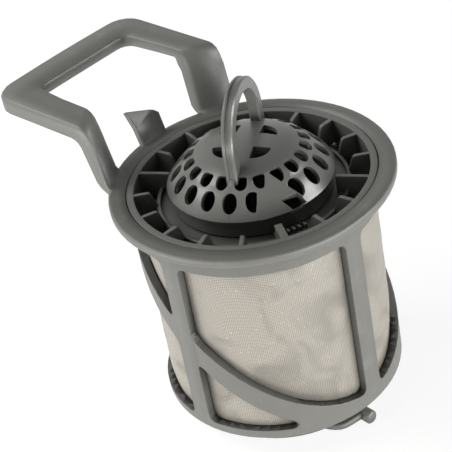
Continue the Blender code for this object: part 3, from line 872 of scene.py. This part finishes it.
@dataclass
class PiercedDome(Piece):
    """Dome with its rows of holes, creased panel, crown windows and loop grip."""

    radius: float = 25.8
    lip_z: float = 80.15
    collar: float = 24.4
    low: float = 74.0
    wall: float = 1.5
    shoulder: float = 20.0
    shoulder_z: float = 86.2
    apex: float = 92.6
    loop_azimuth: float = -62.0
    panel_azimuth: float = -26.0
    panel_top: float = 16.3
    panel_foot: float = 24.45
    panel_half: float = 9.5
    steps: int = 120
    sharp: float = 32.0
    holes_in_row: int = 20
    crown_windows: int = 4
    window_half: float = 3.6
    window_reach: float = 5.4
    loop_outer: float = 16.5
    loop_inner: float = 12.3
    loop_centre: float = 95.1
    rows: tuple[HoleRow, ...] = (
        HoleRow(0.0, 22.0, 84.3, 48.7, 6.2, 4.5, 0.9),
        HoleRow(9.0, 17.7, 88.3, 34.0, 4.5, 3.9, 0.5),
    )
    panel_right: tuple[Flat, ...] = (
        (15.0, 0.1),
        (16.6, 0.6),
        (18.4, 2.5),
        (20.35, 4.6),
        (22.2, 6.7),
        (23.6, 8.2),
        (27.0, 11.5),
    )
    panel_left: tuple[Flat, ...] = (
        (27.0, -9.0),
        (23.0, -7.0),
        (21.5, -5.9),
        (19.75, -4.9),
        (19.5, -2.5),
        (18.3, -1.6),
        (16.8, -0.8),
        (15.0, -0.6),
    )
    window: tuple[Flat, ...] = ((22.4, 1.0), (22.0, 6.2), (24.3, 8.1), (25.3, 3.7))

    def build(self, rings: RingOfCopies, material: bpy.types.Material) -> bpy.types.Object:
        """Builds the dome: wall, parting line, panel, openings and loop.

        Args:
            rings: Tree that repeats the holes and windows.
            material: Its plastic.

        Returns:
            The dome.
        """
        dome = self._shell()
        combine(dome, self._parting_line(), Cut.JOIN)
        combine(dome, self._panel_face(), Cut.TAKE)
        holes = []
        for row in self.rows:
            first, step = self.loop_azimuth + row.first, 360.0 / self.holes_in_row
            holes.append(rings.around(self._hole(row), self.holes_in_row, first, step, material))
        cutters = joined("holes", holes)
        wedge = prism("panel", [*self.panel_right, *self.panel_left], self.lip_z - 9.0, self.apex + 4.0)
        combine(cutters, rotated(wedge, self.panel_azimuth), Cut.TAKE)
        combine(dome, cutters, Cut.TAKE)
        quarter = 360.0 / self.crown_windows
        windows = rings.around(self._crown_window(), self.crown_windows, self.loop_azimuth, quarter, material)
        slot = prism("panel_window", list(self.window), self.lip_z - 1.4, self.shoulder_z + 3.8)
        combine(dome, joined("windows", [windows, rotated(slot, self.panel_azimuth)]), Cut.TAKE)
        combine(dome, self._loop(), Cut.JOIN)
        return self.dress(self._creased(smoothed(dome, self.sharp)), material)

    def _creased(self, item: bpy.types.Object) -> bpy.types.Object:
        """Keeps the panel's face flat, so that its border shows as a crease.

        Args:
            item: Finished dome.

        Returns:
            The same object.
        """
        top, _, out = self._panel_plane()
        turn = Matrix.Rotation(math.radians(self.panel_azimuth), 3, "Z")
        normal, place = turn @ out, turn @ top * MM
        corners = item.data.vertices
        for face in item.data.polygons:
            if all(abs((corners[i].co - place).dot(normal)) < 0.01 * MM for i in face.vertices):
                face.use_smooth = False
        return item

    def _panel_plane(self) -> tuple[Vector, Vector, Vector]:
        """Finds the plane of the panel's face, at azimuth zero.

        Returns:
            Upper and lower point of its middle line, and the way that it looks.
        """
        top = Vector((self.panel_top, 0.0, self._height(self.panel_top)))
        foot = Vector((self.panel_foot, 0.0, self.lip_z + 0.55))
        along = (foot - top).normalized()
        return top, foot, Vector((-along.z, 0.0, along.x))

    def _height(self, radius: float) -> float:
        """Finds the height of the dome's outer face.

        Args:
            radius: Distance from the axis.

        Returns:
            Height of the crown inside the shoulder, and of the flank outside it.
        """
        if radius <= self.shoulder - 0.2:
            share = radius / self.shoulder
            rise = math.sqrt(max(0.0, 1.0 - share**2)) ** 1.15
            return self.shoulder_z + (self.apex - self.shoulder_z) * rise
        top = self._height(self.shoulder - 0.2)
        share = (radius - self.shoulder + 0.2) / (self.radius - 0.35 - self.shoulder + 0.2)
        return top + (self.lip_z + 0.45 - top) * share + 0.5 * math.sin(math.pi * min(1.0, share))

    def _shell(self) -> bpy.types.Object:
        """Turns the wall of the dome, closed at the apex outside and inside.

        Returns:
            The plain dome with its lip and collar.
        """
        lip, collar, low = self.lip_z, self.collar, self.low
        radii = (24.8, 24.0, 23.1, 22.2, 21.3, 20.5, 19.8, 19.1, 18.2, 17.0, 15.4, 13.5, 11.4, 9.0, 6.4, 3.4)
        flank = [(r, self._height(r)) for r in radii]
        outer = [
            (collar - 0.3, low),
            (collar, low + 0.3),
            (collar, lip - 1.5),
            (collar + 0.2, lip - 0.9),
            (collar + 0.7, lip - 0.45),
            (self.radius - 0.35, lip - 0.2),
            (self.radius - 0.08, lip - 0.05),
            (self.radius, lip + 0.15),
            (self.radius - 0.12, lip + 0.35),
            *flank,
        ]
        inner = []
        for r, z in reversed(flank[::2]):
            slope = max(0.0, (r - 8.0) / 16.0)
            inner.append((r - self.wall * slope * 0.75, z - self.wall * (1.0 - 0.35 * slope)))
        inner.append((self.radius - self.wall - 0.6, lip - 0.5))
        inner += [(collar - self.wall, lip - 2.4), (collar - self.wall, low)]
        profile = outer + inner
        size, last = len(profile), len(outer) - 1
        points = [on_circle(360.0 * i / self.steps, r, z) for i in range(self.steps) for r, z in profile]
        points += [(0.0, 0.0, self.apex), (0.0, 0.0, self.apex - self.wall)]
        faces: list[tuple[int, ...]] = []
        for i in range(self.steps):
            a, b = i * size, (i + 1) % self.steps * size
            around = [j for j in range(size) if j != last]
            faces += [(a + j, a + (j + 1) % size, b + (j + 1) % size, b + j) for j in around]
            faces.append((a + last, b + last, len(points) - 2))
            faces.append((b + last + 1, a + last + 1, len(points) - 1))
        return placed("dome", points, faces)

    def _parting_line(self) -> bpy.types.Object:
        """Makes the fine raised line of the mould from the loop's foot down over the lip.

        Returns:
            The line, sunk a little into the wall.
        """
        rings = []
        for r in (17.0, 18.5, 20.0, 21.5, 23.0, 24.5, 25.35):
            z = self._height(r)
            rings.append([(r, -0.28, z - 0.3), (r, 0.28, z - 0.3), (r + 0.08, 0.0, z + 0.14)])
        rings.append([(25.3, -0.28, self.lip_z), (25.3, 0.28, self.lip_z), (25.95, 0.0, self.lip_z + 0.1)])
        return rotated(loft("parting_line", rings), self.loop_azimuth)

    def _panel_face(self) -> bpy.types.Object:
        """Makes the slab whose inner face flattens the panel between its creases.

        Returns:
            The cutter in its place.
        """
        top, foot, out = self._panel_plane()
        along = (foot - top).normalized()
        start, end = top - along * 4.0, foot + along * 0.9
        rings = []
        for y in (-self.panel_half, self.panel_half):
            side = Vector((0.0, y, 0.0))
            rings.append([tuple(p + side) for p in (start, end, end + out * 6.0, start + out * 6.0)])
        return rotated(loft("panel_face", rings), self.panel_azimuth)

    @staticmethod
    def _hole(row: HoleRow) -> bpy.types.Object:
        """Makes the cutter of one hole, along the dome's normal.

        Args:
            row: Row that the hole is in.

        Returns:
            The cutter at azimuth zero.
        """
        slope = math.radians(row.slope)
        up = Vector((-math.cos(slope), 0.0, math.sin(slope)))
        out = Vector((math.sin(slope), 0.0, math.cos(slope)))
        centre = Vector((row.radius, 0.0, row.z))
        ends = []
        for depth in (-3.4, 2.6):
            ring = []
            for i in range(24):
                sin, cos = math.sin(math.tau * i / 24.0), math.cos(math.tau * i / 24.0)
                power = row.square if sin > 0.0 else 0.95
                along = row.length / 2.0 * math.copysign(abs(sin) ** power, sin)
                across = row.width / 2.0 * math.copysign(abs(cos) ** power, cos)
                ring.append(tuple(centre + out * depth + up * along + Vector((0.0, across, 0.0))))
            ends.append(ring)
        return loft("hole", ends)

    def _crown_window(self) -> bpy.types.Object:
        """Makes the cutter of one quarter-round window between two arms of the crown's cross.

        Returns:
            The cutter between the arms at azimuths zero and ninety.
        """
        half = self.window_half
        arc = [on_circle(9.0 * i, self.window_reach, 0.0)[:2] for i in range(11)]
        outline = [(half, half), *((half + x, half + y) for x, y in arc)]
        return prism("crown_window", outline, self.shoulder_z - 2.2, self.apex + 4.0)

    def _loop(self) -> bpy.types.Object:
        """Makes the finger loop: an arch with straight legs and a channel along its outside.

        Returns:
            The loop, with its feet in the crown.
        """
        big, small, centre, base = self.loop_outer, self.loop_inner, self.loop_centre, self.shoulder_z
        legs = (
            ((17.2, base + 1.3), (small, base + 3.3)),
            ((17.0, base + 3.4), (small, base + 5.0)),
            ((16.6, base + 5.6), (small, base + 6.1)),
        )
        ends = [self._loop_section(*leg) for leg in legs]
        for i in range(45):
            turn = math.pi * i / 44.0
            cos, sin = math.cos(turn), math.sin(turn)
            outer, inner = (big * cos, centre + big * sin), (small * cos, centre + small * sin)
            ends.append(self._loop_section(outer, inner))
        for (far, far_z), (near, near_z) in reversed(legs):
            ends.append(self._loop_section((-far, far_z), (-near, near_z)))
        return rotated(loft("loop", ends), self.loop_azimuth)

    @staticmethod
    def _loop_section(outer: Flat, inner: Flat) -> list[Point]:
        """Lists the corners of one section of the loop.

        Args:
            outer: Point of the loop's outer line.
            inner: Point of its inner line.

        Returns:
            The section's corners in order.
        """
        half, edge, lip, channel = 1.75, 0.5, 0.75, 0.45
        base = Vector((inner[0], 0.0, inner[1]))
        across = Vector((outer[0], 0.0, outer[1])) - base
        thick = across.length
        out = across.normalized()
        side = Vector((0.0, 1.0, 0.0))
        near = [(0.0, half - edge), (edge, half), (thick - edge, half), (thick, half - edge), (thick, lip)]
        near.append((thick - channel, lip - 0.25))
        rows = near + [(d, -y) for d, y in reversed(near)]
        return [tuple(base + out * d + side * y) for d, y in rows]


@dataclass
class MeshSleeve(Piece):
    """Woven tube between the cage and the basket, slightly bulged and wrinkled in the cage's windows."""

    radius: float = 35.6
    low: float = 8.4
    high: float = 70.5
    bulge: float = 0.9
    ripple: float = 0.11
    slant_middle: float = 42.0
    slant_swing: float = 33.5
    columns: int = 360
    rows: int = 72

    def build(self, material: bpy.types.Material) -> bpy.types.Object:
        """Builds the tube as one sheet with a UV map in metres.

        Args:
            material: Woven finish.

        Returns:
            The sleeve.
        """
        work = bmesh.new()
        wall = work.loops.layers.uv.new("wall")
        heights = [self.low + (self.high - self.low) * row / self.rows for row in range(self.rows + 1)]
        turns = [360.0 * i / self.columns for i in range(self.columns)]
        rings = []
        for z in heights:
            ring = [Vector(on_circle(turn, self._reach(turn, z), z)) * MM for turn in turns]
            rings.append([work.verts.new(point) for point in ring])
        around = math.tau * self.radius * MM
        for row in range(self.rows):
            low, high = heights[row] * MM, heights[row + 1] * MM
            for i in range(self.columns):
                j = (i + 1) % self.columns
                face = work.faces.new((rings[row][i], rings[row][j], rings[row + 1][j], rings[row + 1][i]))
                face.smooth = True
                start, end = around * i / self.columns, around * (i + 1) / self.columns
                for loop, place in zip(face.loops, ((start, low), (end, low), (end, high), (start, high))):
                    loop[wall].uv = place
        mesh = bpy.data.meshes.new(self.name)
        work.to_mesh(mesh)
        work.free()
        item = bpy.data.objects.new(self.name, mesh)
        bpy.context.scene.collection.objects.link(item)
        self.dress(item, material)
        return item

    def _reach(self, azimuth: float, z: float) -> float:
        """Finds how far out the mesh stands: free in the windows, held at the ribs.

        Args:
            azimuth: Azimuth in degrees.
            z: Height.

        Returns:
            Radius of the mesh there.
        """
        beside = abs((azimuth + 45.0) % 90.0 - 45.0)
        slant = self.slant_middle - self.slant_swing * math.cos(math.radians(azimuth))
        free = min(1.0, max(0.0, (beside - 6.0) / 16.0), max(0.0, (abs(z - slant) - 5.5) / 9.0))
        free *= max(0.0, min(1.0, (z - self.low - 1.0) / 9.0, (self.high - 1.0 - z) / 6.0))
        wave = math.sin(math.radians(azimuth * 13.0) + 0.22 * z)
        wave *= math.sin(0.31 * z - math.radians(azimuth * 4.0))
        return self.radius + free * (2.0 - free) * self.bulge + self.ripple * free * wave


@dataclass(frozen=True)
class Lamp:
    """One soft light that is aimed at the filter.

    Attributes:
        name: Name of the light.
        place: Where it hangs, in metres.
        size: Its width and height, in metres.
        power: Its power in watts.
        gloss_only: Whether it gives highlights and nothing else.
    """

    name: str
    place: Point
    size: Flat
    power: float
    gloss_only: bool = False


@dataclass
class Studio:
    """Camera, light, floor and white surroundings, in metres.

    Attributes:
        eye: Place of the camera.
        aim: Point that it looks at.
        roll: Its turn about its own axis, in degrees.
        lens: Its focal length in millimetres.
        floor_half: Half the width of the floor.
        floor_share: How much of the floor's look is its own glow.
        floor_glow: Strength of that glow.
        bounce: What the glow gains as light on the object.
        ambient: Strength of the surroundings as light on the object.
        shaded: Radius around the axis inside which the floor doesn't glow, a painted shade under the body.
        lamp_aim: Point that the lamps look at.
        lamps: The soft lights.
    """

    eye: Point = (0.28949, -0.258836, 0.328171)
    aim: Point = (-0.010186, -0.005082, 0.060)
    roll: float = 11.305
    lens: float = 121.55
    floor_half: float = 4.0
    floor_share: float = 0.75
    floor_glow: float = 1.16
    bounce: float = 0.8
    ambient: float = 0.15
    shaded: float = 0.03
    lamp_aim: Point = (0.0, 0.0, 0.05)
    lamps: tuple[Lamp, ...] = (
        Lamp("key", (-0.52, -0.34, 0.70), (0.5, 0.5), 5.9),
        Lamp("right_strip", (0.39, -0.02, 0.035), (0.30, 0.06), 1.5),
        Lamp("left_strip", (-0.10, -0.40, 0.045), (0.34, 0.08), 1.25),
        Lamp("highlight", (0.62, 0.45, 0.38), (0.35, 0.35), 7.0, gloss_only=True),
    )

    def build(self) -> None:
        """Builds everything that isn't part of the object."""
        self._camera()
        self._floor()
        self._world()
        for lamp in self.lamps:
            self._hang(lamp)

    def _camera(self) -> None:
        """Puts the camera where the photograph was taken from, turned about its own axis."""
        data = bpy.data.cameras.new("camera")
        data.lens = self.lens
        data.clip_start = 0.01
        data.clip_end = 20.0
        camera = bpy.data.objects.new("camera", data)
        roll = Matrix.Rotation(math.radians(-self.roll), 4, "Z")
        camera.matrix_world = self._looking(self.eye, self.aim) @ roll
        bpy.context.scene.collection.objects.link(camera)
        bpy.context.scene.camera = camera

    def _floor(self) -> None:
        """Lays a plain pale floor that takes the object's shadow and gets a painted shade under the spigot."""
        mesh = bpy.data.meshes.new("floor")
        size = self.floor_half
        corners = [(-size, -size, 0.0), (size, -size, 0.0), (size, size, 0.0), (-size, size, 0.0)]
        mesh.from_pydata(corners, [], [(0, 1, 2, 3)])
        floor = bpy.data.objects.new("floor", mesh)
        bpy.context.scene.collection.objects.link(floor)
        material = bpy.data.materials.new("pale_floor")
        material.use_nodes = True
        kit = NodeKit(material.node_tree)
        shader = material.node_tree.nodes["Principled BSDF"]
        shader.inputs["Base Color"].default_value = (0.86, 0.86, 0.85, 1.0)
        shader.inputs["Roughness"].default_value = 0.9
        glow = kit.node("ShaderNodeEmission")
        path = kit.node("ShaderNodeLightPath")
        strength = kit.math("MULTIPLY_ADD", path.outputs["Is Diffuse Ray"], self.bounce, self.floor_glow)
        place = kit.node("ShaderNodeTexCoord")
        reach = kit.node("ShaderNodeVectorMath", operation="LENGTH")
        kit.link(place.outputs["Object"], reach.inputs[0])
        # Painted shade: no glow within a small radius around the axis, under the body.
        clear = kit.math("GREATER_THAN", reach.outputs["Value"], self.shaded)
        kit.link(kit.math("MULTIPLY", strength, clear), glow.inputs["Strength"])
        mix = kit.node("ShaderNodeMixShader", Fac=self.floor_share)
        kit.link(shader.outputs[0], mix.inputs[1])
        kit.link(glow.outputs[0], mix.inputs[2])
        kit.link(mix.outputs[0], material.node_tree.nodes["Material Output"].inputs["Surface"])
        mesh.materials.append(material)

    def _world(self) -> None:
        """Surrounds the scene with white for the camera and a softer light for the object."""
        world = bpy.data.worlds.new("studio")
        world.use_nodes = True
        bpy.context.scene.world = world
        kit = NodeKit(world.node_tree)
        back = world.node_tree.nodes["Background"]
        back.inputs["Color"].default_value = (1.0, 1.0, 1.0, 1.0)
        path = kit.node("ShaderNodeLightPath")
        seen = kit.math("MAXIMUM", path.outputs["Is Camera Ray"], path.outputs["Is Transmission Ray"])
        seen = kit.math("MAXIMUM", seen, path.outputs["Is Glossy Ray"])
        kit.link(kit.math("MULTIPLY_ADD", seen, 1.0 - self.ambient, self.ambient), back.inputs["Strength"])

    @staticmethod
    def _looking(place: Point, aim: Point) -> Matrix:
        """Gives the transform of something at one point that looks at another."""
        turn = (Vector(aim) - Vector(place)).to_track_quat("-Z", "Y")
        return Matrix.Translation(place) @ turn.to_matrix().to_4x4()

    def _hang(self, lamp: Lamp) -> None:
        """Hangs one soft light.

        Args:
            lamp: Its place, size and power.
        """
        data = bpy.data.lights.new(lamp.name, "AREA")
        data.shape = "RECTANGLE"
        data.size, data.size_y = lamp.size
        data.energy = lamp.power
        light = bpy.data.objects.new(lamp.name, data)
        light.matrix_world = self._looking(lamp.place, self.lamp_aim)
        light.visible_camera = False
        light.visible_diffuse = not lamp.gloss_only
        bpy.context.scene.collection.objects.link(light)


def main() -> None:
    """Builds the studio and every piece in order."""
    logging.basicConfig(level=logging.INFO)
    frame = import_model()
    bpy.context.scene.view_settings.view_transform = "Standard"
    Studio().build()
    finishes = Finishes()
    rings = RingOfCopies()
    frame_grey = finishes.plastic(FRAME_GREY)
    dome_grey = finishes.plastic(DOME_GREY)
    weave = finishes.weave(FILTER_WEAVE)
    cage = CageMoulding("cage_moulding", "filter_frame", Body.FRAME, Slot.FRAME)
    cage.build(frame["nodes"][cage.node], frame_grey)
    FinnedInsert("finned_insert", "coarse_strainer", Body.STRAINER, Slot.STRAINER).build(rings, frame_grey)
    PiercedDome("pierced_dome", "strainer_dome", Body.STRAINER, Slot.DOME).build(rings, dome_grey)
    MeshSleeve("woven_sleeve", "mesh_sleeve", Body.FRAME, Slot.MESH).build(weave)


if __name__ == "__main__":
    main()
